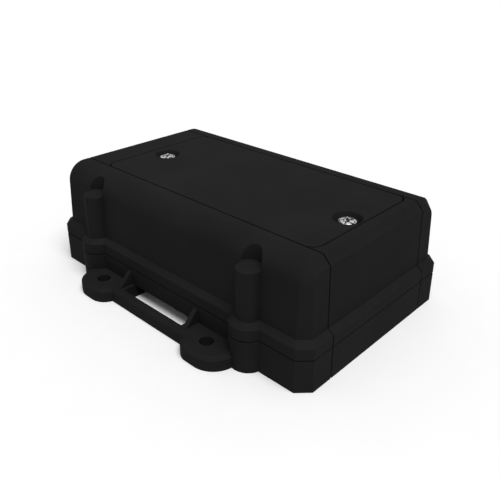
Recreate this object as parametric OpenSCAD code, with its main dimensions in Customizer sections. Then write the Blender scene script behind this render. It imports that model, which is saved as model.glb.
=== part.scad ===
// Rugged sealed cellular unit: a lower shell with strap bars and screw ears, an upper shell
// with screw columns, an inlaid access panel, and the electronics and battery pack inside.
// Frame: origin at the centre of the underside, +X along the length, +Z up, millimetres.

/* [Case] */
// half of the case length over the skirt
half_l = 75; // [72:0.5:80]
// half of the case width over the skirt
half_w = 45.5; // [44.5:0.5:48]
// total height of the case
case_h = 48; // [47:0.5:52]
// leg of the chamfer on the upright corners of base and skirt
corner_c = 4.8; // [3.5:0.1:5.5]
// wall thickness of base and skirt
wall = 3; // [2.6:0.1:3.2]

/* [Parting line] */
// height of the lower shell's rim
rim_z = 13.2; // [12.8:0.1:13.6]
// open seam between the two shells
seam_gap = 0.5; // [0.3:0.05:0.5]
// height at which the vertical skirt ends
skirt_z = 18.2; // [17.6:0.1:18.8]
// height at which the slope above the skirt ends
slope_z = 20; // [19.4:0.1:20.6]

/* [Upper shell] */
// step in from the skirt to the long wall above it
side_step = 2.5; // [2.2:0.1:2.8]
// step in from the skirt to the end wall above it
end_step = 2.5; // [2.2:0.1:2.8]
// draft angle of the long walls
side_draft = 2.57; // [1:0.1:3]
// draft angle of the end walls
end_draft = 1.4; // [0.5:0.1:2]
// radius of the rounded shoulders along the long edges
shoulder_r = 8.5; // [7.5:0.25:9.5]
// length of the bevel that runs round each end of the upper shell
end_bevel = 4; // [3:0.25:4.5]

/* [Screw columns] */
// half distance between the column axes along the length
col_x = 46.7; // [45.5:0.1:48]
// half distance between the column axes across the width
col_y = 43.2; // [42.8:0.1:43.6]
// column radius
col_r = 4.8; // [4.4:0.1:5.2]
// height of the flat column tops
col_z = 40; // [38:0.25:41]
// radius of the bosses on skirt and base
boss_r = 7.5; // [7.2:0.1:8]

/* [Access panel] */
// panel end towards -X
panel_x1 = -55; // [-57:0.25:-55]
// panel end towards +X
panel_x2 = 64.9; // [64.8:0.1:65.2]
// half distance between the two lengthwise grooves
groove_y = 30.4; // [30:0.1:30.8]
// width of the grooves and of the gap round the panel
groove_w = 0.65; // [0.4:0.05:0.7]
// depth of the grooves
groove_d = 0.65; // [0.3:0.05:0.7]
// panel screw position towards -X
screw_x1 = -46; // [-46.5:0.1:-45.8]
// panel screw position towards +X
screw_x2 = 58.3; // [58:0.1:58.4]
// offset of both panel screws from the centre line
screw_y = -1.8; // [-3:0.1:0]
// radius of the dished recess round each panel screw
dish_r = 5.9; // [5.2:0.1:5.9]

/* [Mounting flange] */
// half distance between the ear holes along the length
ear_x = 33; // [32.5:0.1:33.5]
// half distance between the ear holes across the width
ear_y = 51.3; // [51:0.1:51.6]
// radius of the ear holes
ear_hole_r = 2.9; // [2.2:0.05:3.2]
// thickness of ears and bars
ear_t = 6; // [5.6:0.1:6.4]
// half of the strap slot's length
slot_x = 18.5; // [17:0.1:19]
// width of the strap slot
slot_w = 5.7; // [4.6:0.1:5.8]
// width of the bar outside the strap slot
bar_w = 3.3; // [3.1:0.1:3.6]

/* [Battery] */
// radius of one cell
cell_r = 13.1; // [12.5:0.05:13.1]
// length of one cell
cell_l = 50; // [48:0.5:50]

/* [Hidden] */
$fn = 96;
eps = 0.01;
big = 400;

// shell heights
cover_z = rim_z + seam_gap;
foot_z = cover_z - 1;
top_l = half_l - end_step;
top_w = half_w - side_step;
// centre of the shoulder arc in the cross section
arc_z = case_h - shoulder_r;
arc_y = top_w - (arc_z - slope_z) * tan(side_draft) - shoulder_r / cos(side_draft);
// top of the drafted long wall, a hair outside the shoulder arc so that the two don't just touch
wall_lip = 0.02;
arc_ty = arc_y + (shoulder_r + wall_lip) * cos(side_draft);
arc_tz = arc_z + (shoulder_r + wall_lip) * sin(side_draft);
wall_foot_y = arc_ty + (arc_tz - slope_z) * tan(side_draft);
// end wall position at the top and start of the end bevel
end_top_l = top_l - (case_h - slope_z) * tan(end_draft);
bevel_x = end_top_l - end_bevel + 0.7;
bevel_l = 5;

// inside of the upper shell
roof_z = 42.5;
ledge_z = 44.5;
cav_l = 69.2;
cav_w = 39.6;
cav_r = 6;
post_r = 6.3;
post_z = 33.5;

// hatch opening under the panel
hatch_x1 = -38.5;
hatch_x2 = 51.2;
hatch_y = 27.2;
hatch_r = 3;

// panel
panel_z = ledge_z + 0.3;
panel_r = 4.5;
panel_gap = groove_w;
panel_boss_r = 4.6;
panel_boss_z = 43.4;
seat_z = 45.2;
gasket_w = 1.1;

// screws and inserts
m4_r = 1.95;
m4_head_r = 3.5;
m4_head_h = 2.3;
m4_rim_h = 1.5;
m4_dome_r = 10;
head_gap = 0.05;
case_head_r = 3.9;
case_head_h = 2.8;
case_seat_z = 5;
case_tip_z = 21.5;
insert_r = 3;
insert_bore_r = 2.15;
insert_l = 7.5;

// flange outline
ear_out = 45.4 - ear_x;
ear_in = ear_x - 22.6;
ear_front = 8.4;
ear_ro = 10.5;
ear_ri = 7.5;
ear_c = 1.4;
flange_y = half_w + slot_w;
rib_t = 2;
rib_x = 21;
rib_z = 12.1;
rib_y = 6.3;
bar_round = 2;

// base inside
floor_t = 2.5;
channel_z = ear_t;
deck_x = slot_x + 2.5;
deck_z = channel_z + 2;
vent_x = -58;

// board
board_x = 66;
board_y = 34.5;
board_z = 11;
board_t = 1.6;
board_top = board_z + board_t;
board_screw_x = 62;
board_screw_y = 30;
post_x1 = -30;
post_x2 = 42;
tray_post_y = 23;
tray_post_z = 16.2;

// SIM holder and slide switch
sim_x1 = 51;
sim_x2 = 63;
sim_y1 = -24;
sim_y2 = -10.5;
sw_x = 56;
sw_y = 18;

// battery
tray_z = 16.6;
tray_x1 = -35.2;
tray_x2 = 47.8;
tray_y = 26.4;
tray_top = 30;
cell_pitch = 26.4;
cell_x0 = 6.3;
cell_z = 17.8 + cell_r;

// ---------------------------------------------------------------- shared shapes

module both_x() { for (s = [-1, 1]) scale_x(s) children(); }
module both_y() { for (s = [-1, 1]) scale_y(s) children(); }
module scale_x(s) { if (s > 0) children(); else mirror([1, 0, 0]) children(); }
module scale_y(s) { if (s > 0) children(); else mirror([0, 1, 0]) children(); }

// box given by its low and high corners
module span(a, b) { translate(a) cube([b[0] - a[0], b[1] - a[1], b[2] - a[2]]); }

// outline in X and Z, extruded along Y from y1 to y2
module along_y(y1, y2) { translate([0, y2, 0]) rotate([90, 0, 0]) linear_extrude(y2 - y1) children(); }

// outline in Y and Z, extruded along X from x1 to x2
module along_x(x1, x2) { translate([x1, 0, 0]) rotate([90, 0, 90]) linear_extrude(x2 - x1) children(); }

// rectangle with four chamfered corners, centred
module octagon(x, y, c) {
    polygon([[x - c, -y], [x, -y + c], [x, y - c], [x - c, y],
             [-x + c, y], [-x, y - c], [-x, -y + c], [-x + c, -y]]);
}

// rectangle with four round corners
module round_rect(x1, y1, x2, y2, r) {
    translate([x1 + r, y1]) square([x2 - x1 - 2 * r, y2 - y1]);
    translate([x1, y1 + r]) square([x2 - x1, y2 - y1 - 2 * r]);
    for (x = [x1 + r, x2 - r], y = [y1 + r, y2 - r]) translate([x, y]) circle(r);
}

// the four column axes
module at_columns() { both_x() both_y() translate([col_x, col_y, 0]) children(); }

// inner outline of the rim, moved outwards by d: it passes inside the screw bosses
module rim_outline(d) {
    difference() {
        octagon(half_l - wall + d, half_w - wall + d, corner_c - 1.2);
        both_x() both_y() translate([col_x, col_y]) circle(boss_r - d);
    }
}

// cross recess in the top of a screw head
module cross_recess(w, l, d) {
    for (a = [45, 135]) rotate([0, 0, a]) translate([-l / 2, -w / 2, -d]) cube([l, w, d + 1]);
    translate([0, 0, -d - 0.6]) cylinder(h = d + 0.6, r1 = 0.2, r2 = l * 0.3);
}

// side outline of the case in X and Z, drawn inwards by d
module end_outline(d) {
    polygon([[half_l - d, -1], [half_l - d, skirt_z], [top_l - d, slope_z],
             [end_top_l - d, case_h - end_bevel + 0.7 - d], [bevel_x - d / 2, case_h - d],
             [-bevel_x + d / 2, case_h - d], [-end_top_l + d, case_h - end_bevel + 0.7 - d],
             [-top_l + d, slope_z], [-half_l + d, skirt_z], [-half_l + d, -1]]);
}

// the two lengthwise grooves: thin slots round the outline
module grooves() {
    both_y() along_y(groove_y - groove_w / 2, groove_y + groove_w / 2) difference() {
        translate([-half_l - 5, -1]) square([2 * half_l + 10, case_h + 6]);
        end_outline(groove_d);
    }
}

// ---------------------------------------------------------------- lower shell

// block with chamfered top edge and round outer corners: one ear, in the +X +Y quarter
module ear_block() {
    x1 = ear_x - ear_in;
    x2 = ear_x + ear_out;
    y2 = ear_y + ear_front;
    low = ear_t - ear_c;
    span([x1, half_w - 2, 0], [x2, y2 - ear_ro, low]);
    span([x1 + ear_ri, half_w - 2, 0], [x2 - ear_ro, y2, low]);
    span([x1, half_w - 2, 0], [x1 + ear_ri, y2 - ear_ri, low]);
    translate([x1 + ear_ri, y2 - ear_ri, 0]) cylinder(h = low, r = ear_ri);
    translate([x2 - ear_ro, y2 - ear_ro, 0]) cylinder(h = low, r = ear_ro);
    // bevelled top edge
    translate([x1 + ear_ri, y2 - ear_ri, low]) cylinder(h = ear_c, r1 = ear_ri, r2 = ear_ri - ear_c);
    translate([x2 - ear_ro, y2 - ear_ro, low]) cylinder(h = ear_c, r1 = ear_ro, r2 = ear_ro - ear_c);
    along_x(x1 + ear_ri, x2 - ear_ro)
        polygon([[half_w - 2, low - 1], [y2, low - 1], [y2, low], [y2 - ear_c, ear_t], [half_w - 2, ear_t]]);
    along_y(half_w - 2, y2 - ear_ro)
        polygon([[ear_x, low - 1], [x2, low - 1], [x2, low], [x2 - ear_c, ear_t], [ear_x, ear_t]]);
    along_y(half_w - 2, y2 - ear_ri)
        polygon([[x1, low - 1], [ear_x, low - 1], [ear_x, ear_t], [x1, ear_t]]);
}

// half of the flange on one long side: ear, bar half and rib
module flange_half() {
    ear_block();
    span([slot_x, half_w - 2, 0], [ear_x - ear_in + 1, flange_y + bar_w - 1.2, ear_t]);
    // bar with a rounded outer top edge
    along_x(0, ear_x - ear_in + 4) {
        translate([flange_y, 0]) square([bar_w, ear_t - bar_round]);
        translate([flange_y, 0]) square([bar_w - bar_round, ear_t]);
        translate([flange_y + bar_w - bar_round, ear_t - bar_round]) circle(bar_round);
    }
    // triangular rib between the wall and the flange
    translate([rib_x - rib_t / 2, 0, 0]) along_x(0, rib_t)
        polygon([[half_w - 1, ear_t - 1], [half_w + rib_y, ear_t - 1], [half_w + rib_y, ear_t],
                 [half_w + 0.6, rib_z], [half_w - 1, rib_z]]);
}

module base_shell() {
    color("#1d1e20") difference() {
        union() {
            linear_extrude(rim_z) octagon(half_l, half_w, corner_c);
            at_columns() cylinder(h = rim_z, r = boss_r);
            both_x() both_y() flange_half();
        }
        // inside, left solid round the bosses and over the strap channel
        difference() {
            translate([0, 0, floor_t]) linear_extrude(rim_z) rim_outline(0);
            span([-deck_x, -half_w, 0], [deck_x, half_w, deck_z]);
            both_x() both_y() translate([board_screw_x, board_screw_y, 0]) cylinder(h = board_z, r = 3.2);
            for (x = [post_x1, post_x2], s = [-1, 1]) translate([x, s * tray_post_y, 0]) {
                cylinder(h = board_z, r = 3.5);
                cylinder(h = tray_post_z, r = 2.2);
            }
        }
        // strap channel under the case, open into both strap slots
        span([-slot_x, -flange_y, -1], [slot_x, flange_y, channel_z]);
        both_y() span([-slot_x, half_w, channel_z - 1], [slot_x, flange_y, channel_z + 1]);
        // gasket groove in the rim
        translate([0, 0, rim_z - 1.1]) linear_extrude(2) difference() { rim_outline(2); rim_outline(0.8); }
        // case screw holes
        at_columns() {
            translate([0, 0, -1]) cylinder(h = case_seat_z + 1, r = case_head_r + 0.4);
            cylinder(h = rim_z + 1, r = m4_r + 0.3);
        }
        // ear holes
        both_x() both_y() translate([ear_x, ear_y, -1]) cylinder(h = ear_t + 2, r = ear_hole_r);
        // board screw holes and vent hole
        both_x() both_y() translate([board_screw_x, board_screw_y, 4]) cylinder(h = board_z, r = 1.45);
        translate([vent_x, 0, -1]) cylinder(h = floor_t + 2, r = 1.5);
        grooves();
    }
}

module rim_gasket() {
    color("#3a3d40") translate([0, 0, rim_z - 1.1]) linear_extrude(1.2)
        difference() { rim_outline(1.9); rim_outline(0.9); }
}

module case_screws() {
    color("#c3c6ca") at_columns() {
        difference() {
            union() {
                translate([0, 0, case_seat_z - case_head_h]) cylinder(h = case_head_h, r = case_head_r);
                translate([0, 0, case_seat_z - 0.5]) cylinder(h = case_tip_z - case_seat_z - 0.5, r = m4_r);
                translate([0, 0, case_tip_z - 1]) cylinder(h = 1, r1 = m4_r, r2 = m4_r - 0.7);
            }
            translate([0, 0, case_seat_z - case_head_h]) mirror([0, 0, 1]) cross_recess(1, 4.6, 1.5);
        }
    }
}

module vent_membrane() {
    color("#e8e8e4") translate([vent_x, 0, floor_t]) cylinder(h = 0.4, r = 4.5);
}

// ---------------------------------------------------------------- circuit board

module circuit_board() {
    color("#1f5a34") difference() {
        translate([0, 0, board_z]) linear_extrude(board_t) octagon(board_x, board_y, 3);
        both_x() both_y() translate([board_screw_x, board_screw_y, board_z - 1]) cylinder(h = 4, r = 1.6);
        for (x = [post_x1, post_x2], s = [-1, 1])
            translate([x, s * tray_post_y, board_z - 1]) cylinder(h = 4, r = 2.4);
    }
}

module board_screws() {
    color("#b9bcc0") both_x() both_y() translate([board_screw_x, board_screw_y, 0]) difference() {
        union() {
            translate([0, 0, board_top]) cylinder(h = 1.8, r = 2.75);
            translate([0, 0, 5]) cylinder(h = board_top - 4.5, r = 1.4);
        }
        translate([0, 0, board_top + 1.8]) cross_recess(0.7, 3, 0.9);
    }
}

// metal box soldered down on the board, with a shallow lid step
module can(x1, y1, x2, y2, h) {
    span([x1, y1, board_top], [x2, y2, board_top + h - 0.6]);
    span([x1 - 0.2, y1 - 0.2, board_top + 0.8], [x2 + 0.2, y2 + 0.2, board_top + h]);
}

module radio_module() {
    color("#c9ccd0") {
        span([-26, -14, board_top], [-2, 12, board_top + 0.8]);
        span([-25.4, -13.4, board_top + 0.8], [-2.6, 11.4, board_top + 2.8]);
    }
}

module shield_cans() {
    color("#bfc3c8") {
        can(-61, -22, -41, 2, 4);
        can(8, -16, 32, 10, 3);
    }
}

module filter_blocks() {
    color("#d8cfb8") for (y = [8, 17]) span([-60, y, board_top], [-44, y + 6, board_top + 4.5]);
}

module board_chips() {
    color("#26282b") {
        span([2, 14, board_top], [14, 22, board_top + 1.4]);
        span([18, 14, board_top], [27, 23, board_top + 1.2]);
        span([-22, 16, board_top], [-14, 24, board_top + 1.3]);
        span([-8, 16, board_top], [-3, 21, board_top + 1.1]);
        span([-20, -31, board_top], [-8, -29, board_top + 2]);
        span([4, -32, board_top], [10, -27.5, board_top + 2.6]);
    }
}

module capacitors() {
    color("#34393f") for (x = [-55, -44]) translate([x, -28, board_top]) {
        cylinder(h = 9.4, r = 4);
        cylinder(h = 10, r = 3.6);
    }
}

module battery_pins() {
    color("#c9a24a") for (x = [-10, -6, 20, 24]) translate([x, -23, board_top]) {
        cylinder(h = 2.2, r = 1.4);
        cylinder(h = 3.6, r = 0.9);
    }
}

// flat metal box of the SIM holder, open towards +Y
module sim_holder() {
    color("#c4c8cc") difference() {
        span([sim_x1, sim_y1, board_top], [sim_x2, sim_y2, board_top + 1.8]);
        span([sim_x1 + 1.2, sim_y1 + 0.8, board_top + 0.4], [sim_x2 - 1.2, sim_y2 + 1, board_top + 1.5]);
    }
}

module sim_card() {
    color("#e9e9ec") translate([0, 0, board_top + 0.6]) linear_extrude(0.67)
        polygon([[sim_x1 + 1.6, sim_y1 + 1.2], [sim_x2 - 3.4, sim_y1 + 1.2], [sim_x2 - 1.6, sim_y1 + 3],
                 [sim_x2 - 1.6, sim_y1 + 13.5], [sim_x1 + 1.6, sim_y1 + 13.5]]);
}

// slide switch: body with a window, and its knob
module switch_body() {
    color("#b8bcc0") difference() {
        span([sw_x - 2.4, sw_y - 5, board_top], [sw_x + 2.4, sw_y + 5, board_top + 3.4]);
        span([sw_x - 1.1, sw_y - 3.4, board_top + 1.2], [sw_x + 1.1, sw_y + 3.4, board_top + 4]);
    }
}

module switch_knob() {
    color("#17181a") {
        span([sw_x - 0.8, sw_y - 3, board_top + 1.5], [sw_x + 0.8, sw_y + 0.4, board_top + 3.2]);
        span([sw_x - 0.7, sw_y - 2.4, board_top + 3], [sw_x + 0.7, sw_y - 0.4, board_top + 5.6]);
    }
}

module status_leds() {
    color("#dfe8d8") for (y = [26, 29, 32]) span([50, y - 0.6, board_top], [51.8, y + 0.6, board_top + 0.8]);
}

// upright antenna plates: a foot on the board and a slotted plate
module antenna(x, w, h) {
    difference() {
        span([x, -w, board_top], [x + 1, w, board_top + h]);
        span([x - 1, -w + 8, board_top + 6], [x + 2, w - 5, board_top + 8.5]);
        span([x - 1, -w + 5, board_top + 12], [x + 2, w - 10, board_top + 14]);
    }
}

module antenna_left() { color("#c98f4a") antenna(-65, 27, 24); }
module antenna_right() { color("#c98f4a") antenna(64.4, 27, 18.5); }

// ---------------------------------------------------------------- upper shell

// cross section of the upper shell above the slope, in Y and Z
module section_outer() {
    polygon([[-wall_foot_y, slope_z], [wall_foot_y, slope_z], [arc_ty, arc_tz], [arc_y, arc_z], [arc_y, case_h],
             [-arc_y, case_h], [-arc_y, arc_z], [-arc_ty, arc_tz]]);
    for (s = [-1, 1]) translate([s * arc_y, arc_z]) circle(shoulder_r);
}

// bevelled end of the upper shell: cones on the shoulder arcs, slanted blocks between them
module bevelled_end() {
    rotate([0, 90, 0]) translate([-arc_z, 0, bevel_x])
        for (s = [-1, 1]) translate([0, s * arc_y, 0])
            cylinder(h = bevel_l, r1 = shoulder_r, r2 = shoulder_r - bevel_l);
    along_y(-arc_y, arc_y)
        polygon([[bevel_x, slope_z], [bevel_x + bevel_l, slope_z],
                 [bevel_x + bevel_l, case_h - bevel_l], [bevel_x, case_h]]);
    wall_l = (arc_tz - slope_z) / cos(side_draft);
    both_y() translate([0, arc_ty, arc_tz]) rotate([side_draft, 0, 0]) translate([0, 0, -wall_l - 1])
        linear_extrude(wall_l + 1)
            polygon([[bevel_x, 0], [bevel_x + bevel_l, -bevel_l],
                     [bevel_x + bevel_l, -14], [bevel_x, -14]]);
}

// upper part of the upper shell, without columns
module top_block() {
    difference() {
        union() {
            along_x(-bevel_x, bevel_x) section_outer();
            both_x() bevelled_end();
        }
        // drafted end walls
        both_x() translate([top_l, -big / 2, slope_z]) rotate([0, -end_draft, 0])
            translate([0, 0, -5]) cube([20, big, case_h]);
        translate([-big / 2, -big / 2, slope_z - big]) cube(big);
    }
}

// skirt with the slope above it: four slanted profiles intersected, reaching a little below the seam
module skirt_block() {
    d1 = (half_l + half_w - corner_c) / sqrt(2);
    d2 = d1 - (end_step + side_step) / sqrt(2) * 0.8;
    intersection() {
        along_y(-half_w, half_w) skirt_profile(half_l, top_l);
        along_x(-half_l, half_l) skirt_profile(half_w, wall_foot_y);
        rotate([0, 0, 45]) along_y(-big, big) skirt_profile(d1, d2);
        rotate([0, 0, -45]) along_y(-big, big) skirt_profile(d1, d2);
    }
}

// upright skirt of half width a, sloping in to half width b
module skirt_profile(a, b) {
    polygon([[-a, foot_z], [a, foot_z], [a, skirt_z], [b, slope_z], [-b, slope_z], [-a, skirt_z]]);
}

// inside of the upper shell
module cover_inside() {
    in_arc_y = cav_w - cav_r;
    in_arc_z = roof_z - cav_r;
    difference() {
        union() {
            intersection() {
                along_x(-cav_l, cav_l) {
                    polygon([[-cav_w, cover_z - 2], [cav_w, cover_z - 2], [cav_w, in_arc_z], [in_arc_y, in_arc_z],
                             [in_arc_y, roof_z], [-in_arc_y, roof_z], [-in_arc_y, in_arc_z], [-cav_w, in_arc_z]]);
                    for (s = [-1, 1]) translate([s * in_arc_y, in_arc_z]) circle(cav_r);
                }
                linear_extrude(case_h) octagon(cav_l, cav_w, 4);
                along_y(-cav_w, cav_w)
                    polygon([[-cav_l, 0], [cav_l, 0], [cav_l, roof_z - 3], [cav_l - 3, roof_z],
                             [-cav_l + 3, roof_z], [-cav_l, roof_z - 3]]);
            }
            translate([0, 0, cover_z - 1]) linear_extrude(4) octagon(half_l - wall, half_w - wall, corner_c - 1.2);
        }
        at_columns() cylinder(h = case_h, r = boss_r);
        panel_screw_axes() translate([0, 0, post_z]) cylinder(h = case_h, r = post_r);
    }
}

module panel_screw_axes() { for (x = [screw_x1, screw_x2]) translate([x, screw_y, 0]) children(); }

module cover_shell() {
    color("#202123") difference() {
        union() {
            difference() {
                union() {
                    skirt_block();
                    top_block();
                }
                // scoops above the column tops
                at_columns() translate([0, 0, col_z]) cylinder(h = 20, r = col_r);
            }
            at_columns() {
                translate([0, 0, foot_z]) cylinder(h = skirt_z - foot_z, r = boss_r);
                translate([0, 0, skirt_z]) cylinder(h = slope_z - skirt_z, r1 = boss_r, r2 = boss_r - 2.2);
                translate([0, 0, foot_z]) cylinder(h = col_z - foot_z - 0.5, r = col_r);
                translate([0, 0, col_z - 0.5]) cylinder(h = 0.5, r1 = col_r, r2 = col_r - 0.5);
            }
        }
        // flat face at the seam
        translate([-big / 2, -big / 2, cover_z - big]) cube(big);
        cover_inside();
        // pocket for the panel, hatch opening and sockets for the panel bosses
        translate([0, 0, ledge_z]) linear_extrude(10)
            round_rect(panel_x1 - panel_gap / 2, -groove_y - groove_w / 2,
                       panel_x2 + panel_gap / 2, groove_y + groove_w / 2, panel_r + panel_gap);
        translate([0, 0, roof_z - 3]) linear_extrude(10)
            round_rect(hatch_x1, -hatch_y, hatch_x2, hatch_y, hatch_r);
        panel_screw_axes() {
            translate([0, 0, panel_boss_z - 0.4]) cylinder(h = 5, r = panel_boss_r + 0.4);
            translate([0, 0, post_z + 1.5]) cylinder(h = 12, r = insert_r);
        }
        // insert and screw holes in the columns
        at_columns() {
            translate([0, 0, cover_z - 1]) cylinder(h = insert_l + 1.4, r = insert_r);
            cylinder(h = case_tip_z + 2, r = m4_r + 0.3);
        }
        grooves();
    }
}

// brass insert with a flat foot ring
module insert() {
    difference() {
        cylinder(h = insert_l, r = insert_r);
        translate([0, 0, -1]) cylinder(h = insert_l + 2, r = insert_bore_r);
    }
}

module case_inserts() { color("#b5924c") at_columns() translate([0, 0, cover_z + 0.4]) insert(); }

module panel_inserts() {
    color("#b5924c") panel_screw_axes() translate([0, 0, post_z + 1.5]) insert();
}

// ---------------------------------------------------------------- access panel

module top_panel() {
    color("#212224") difference() {
        union() {
            translate([0, 0, panel_z]) linear_extrude(case_h - panel_z)
                round_rect(panel_x1 + panel_gap / 2, -groove_y + groove_w / 2,
                           panel_x2 - panel_gap / 2, groove_y - groove_w / 2, panel_r);
            panel_screw_axes() translate([0, 0, panel_boss_z]) cylinder(h = 3, r = panel_boss_r);
        }
        panel_screw_axes() {
            translate([0, 0, 40]) cylinder(h = 10, r = m4_r + 0.3);
            translate([0, 0, seat_z]) cylinder(h = case_h - seat_z + eps, r1 = dish_r - 1.3, r2 = dish_r);
        }
        // groove for the panel gasket
        translate([0, 0, panel_z - 1]) linear_extrude(2) gasket_ring(gasket_w + 0.2);
    }
}

// ring round the hatch opening
module gasket_ring(w) {
    g = 0.9 + gasket_w / 2;
    difference() {
        round_rect(hatch_x1 - g - w / 2, -hatch_y - g - w / 2, hatch_x2 + g + w / 2, hatch_y + g + w / 2,
                   hatch_r + g + w / 2);
        round_rect(hatch_x1 - g + w / 2, -hatch_y - g + w / 2, hatch_x2 + g - w / 2, hatch_y + g - w / 2,
                   hatch_r + g - w / 2);
    }
}

module panel_gasket() {
    color("#3b3e41") translate([0, 0, panel_z]) linear_extrude(1) gasket_ring(gasket_w);
}

module battery_pad() {
    color("#55595e") translate([0, 0, panel_z - 0.4]) linear_extrude(0.4) round_rect(-30, -20, 43, 20, 2);
}

// pan-head screw with a cross recess, standing on its seat
module panel_screw(x) {
    color("#d5d8db") translate([x, screw_y, 0]) difference() {
        union() {
            translate([0, 0, seat_z + head_gap]) cylinder(h = m4_rim_h, r = m4_head_r);
            intersection() {
                translate([0, 0, seat_z + m4_rim_h / 2]) cylinder(h = m4_head_h, r = m4_head_r);
                translate([0, 0, seat_z + m4_head_h - m4_dome_r]) sphere(m4_dome_r);
            }
            translate([0, 0, post_z + 4]) cylinder(h = seat_z - post_z - 3.5, r = m4_r);
            translate([0, 0, post_z + 3]) cylinder(h = 1, r1 = m4_r - 0.7, r2 = m4_r);
        }
        translate([0, 0, seat_z + m4_head_h]) cross_recess(1, 4.6, 1.3);
    }
}

module panel_screw_left() { panel_screw(screw_x1); }
module panel_screw_right() { panel_screw(screw_x2); }

// ---------------------------------------------------------------- battery pack

module at_cells() { for (i = [-1, 0, 1]) translate([cell_x0 + i * cell_pitch, 0, cell_z]) children(); }

module battery_tray() {
    color("#2c4a6e") difference() {
        union() {
            span([tray_x1, -tray_y, tray_z], [tray_x2, tray_y, tray_top - 6]);
            for (s = [-1, 1]) scale_y(s) span([tray_x1, tray_y - 1.1, tray_z], [tray_x2, tray_y, tray_top]);
        }
        at_cells() rotate([90, 0, 0]) translate([0, 0, -cell_l / 2 - 0.25]) cylinder(h = cell_l + 0.5, r = cell_r + 0.1);
    }
}

module battery_cells() {
    color("#3d6b4f") at_cells() rotate([90, 0, 0]) {
        translate([0, 0, -cell_l / 2]) cylinder(h = cell_l - 1.2, r = cell_r);
        translate([0, 0, cell_l / 2 - 1.2]) cylinder(h = 1.2, r = 3);
    }
}

// nickel strips over the cell ends, inside the tray's upright walls
module battery_contacts() {
    color("#cfd2d4") {
        for (s = [-1, 1]) scale_y(s)
            span([cell_x0 - cell_pitch - 4, cell_l / 2 + 0.05, cell_z - 4],
                 [cell_x0 + cell_pitch + 4, cell_l / 2 + 0.2, cell_z - 1.2]);
    }
}

// ---------------------------------------------------------------- assembly

base_shell();
rim_gasket();
case_screws();
vent_membrane();
circuit_board();
board_screws();
radio_module();
shield_cans();
filter_blocks();
board_chips();
capacitors();
battery_pins();
sim_holder();
switch_body();
status_leds();
antenna_left();
antenna_right();
cover_shell();
case_inserts();
panel_inserts();
top_panel();
panel_gasket();
battery_pad();
panel_screw_left();
panel_screw_right();
battery_tray();
battery_cells();
battery_contacts();
sim_card();
switch_knob();
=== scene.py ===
import bpy
import bmesh
import math
from mathutils import Matrix, Vector


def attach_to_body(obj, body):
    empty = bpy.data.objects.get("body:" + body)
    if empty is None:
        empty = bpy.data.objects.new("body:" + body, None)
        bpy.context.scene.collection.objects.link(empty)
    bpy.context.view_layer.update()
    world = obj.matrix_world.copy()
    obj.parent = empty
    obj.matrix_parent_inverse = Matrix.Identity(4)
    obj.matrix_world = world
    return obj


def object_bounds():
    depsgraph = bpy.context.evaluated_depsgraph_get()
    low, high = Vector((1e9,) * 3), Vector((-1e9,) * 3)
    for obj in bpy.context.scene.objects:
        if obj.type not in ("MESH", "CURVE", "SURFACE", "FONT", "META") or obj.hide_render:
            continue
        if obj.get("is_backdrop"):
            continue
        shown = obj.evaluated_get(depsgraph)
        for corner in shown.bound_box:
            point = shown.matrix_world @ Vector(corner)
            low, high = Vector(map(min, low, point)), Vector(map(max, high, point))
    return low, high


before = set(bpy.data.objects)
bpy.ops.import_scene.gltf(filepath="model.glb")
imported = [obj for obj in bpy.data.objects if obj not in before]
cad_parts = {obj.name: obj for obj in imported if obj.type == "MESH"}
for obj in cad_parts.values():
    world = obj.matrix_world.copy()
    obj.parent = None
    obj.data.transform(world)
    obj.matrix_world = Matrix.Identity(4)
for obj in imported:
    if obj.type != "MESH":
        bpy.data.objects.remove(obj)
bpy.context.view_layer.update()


# ---- table top, studio light and camera -------------------------------------------------
# A wide sheet of white board for the unit to stand on, a large soft lamp overhead and a
# bright room all round. None of it belongs to the unit.

MM = 0.001


def feed(tree, socket, value):
    """Links an output to a socket, or sets a number or colour there."""
    if isinstance(value, bpy.types.NodeSocket):
        tree.links.new(value, socket)
    elif socket.type == "RGBA":
        socket.default_value = (*value, 1.0)
    else:
        socket.default_value = value


def wire(tree, node, **sockets):
    """Feeds the named inputs of a node, with _ standing for a space."""
    for key, value in sockets.items():
        feed(tree, node.inputs[key.replace("_", " ")], value)


def put(tree, kind, settings=None, **sockets):
    """Adds a node with its properties set and its named inputs fed."""
    made = tree.nodes.new(kind)
    for key, value in (settings or {}).items():
        setattr(made, key, value)
    wire(tree, made, **sockets)
    return made


def finish_of(name):
    """A new material, its node tree and its Principled shader."""
    mat = bpy.data.materials.new(name)
    mat.use_nodes = True
    return mat, mat.node_tree, mat.node_tree.nodes["Principled BSDF"]


def place_in(tree):
    """The place of a point in the shared frame, in metres."""
    return put(tree, "ShaderNodeTexCoord").outputs["Object"]


def noise(tree, place, scale, **sockets):
    """The value of a noise texture, with scale in cells to the metre."""
    return put(tree, "ShaderNodeTexNoise", Vector=place, Scale=scale, **sockets).outputs["Fac"]


def ramp(tree, value, low, high, to_low=0.0, to_high=1.0):
    """Maps value from low..high to to_low..to_high, held at both ends."""
    return put(tree, "ShaderNodeMapRange", {"clamp": True}, Value=value, From_Min=low, From_Max=high,
               To_Min=to_low, To_Max=to_high).outputs[0]


def tint(tree, share, first, second):
    """Mixes two colours by a value that changes over the surface."""
    made = put(tree, "ShaderNodeMix", {"data_type": "RGBA"})
    share_in, first_in, second_in = made.inputs[0], made.inputs[6], made.inputs[7]
    feed(tree, share_in, share)
    feed(tree, first_in, first)
    feed(tree, second_in, second)
    return made.outputs[2]


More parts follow.
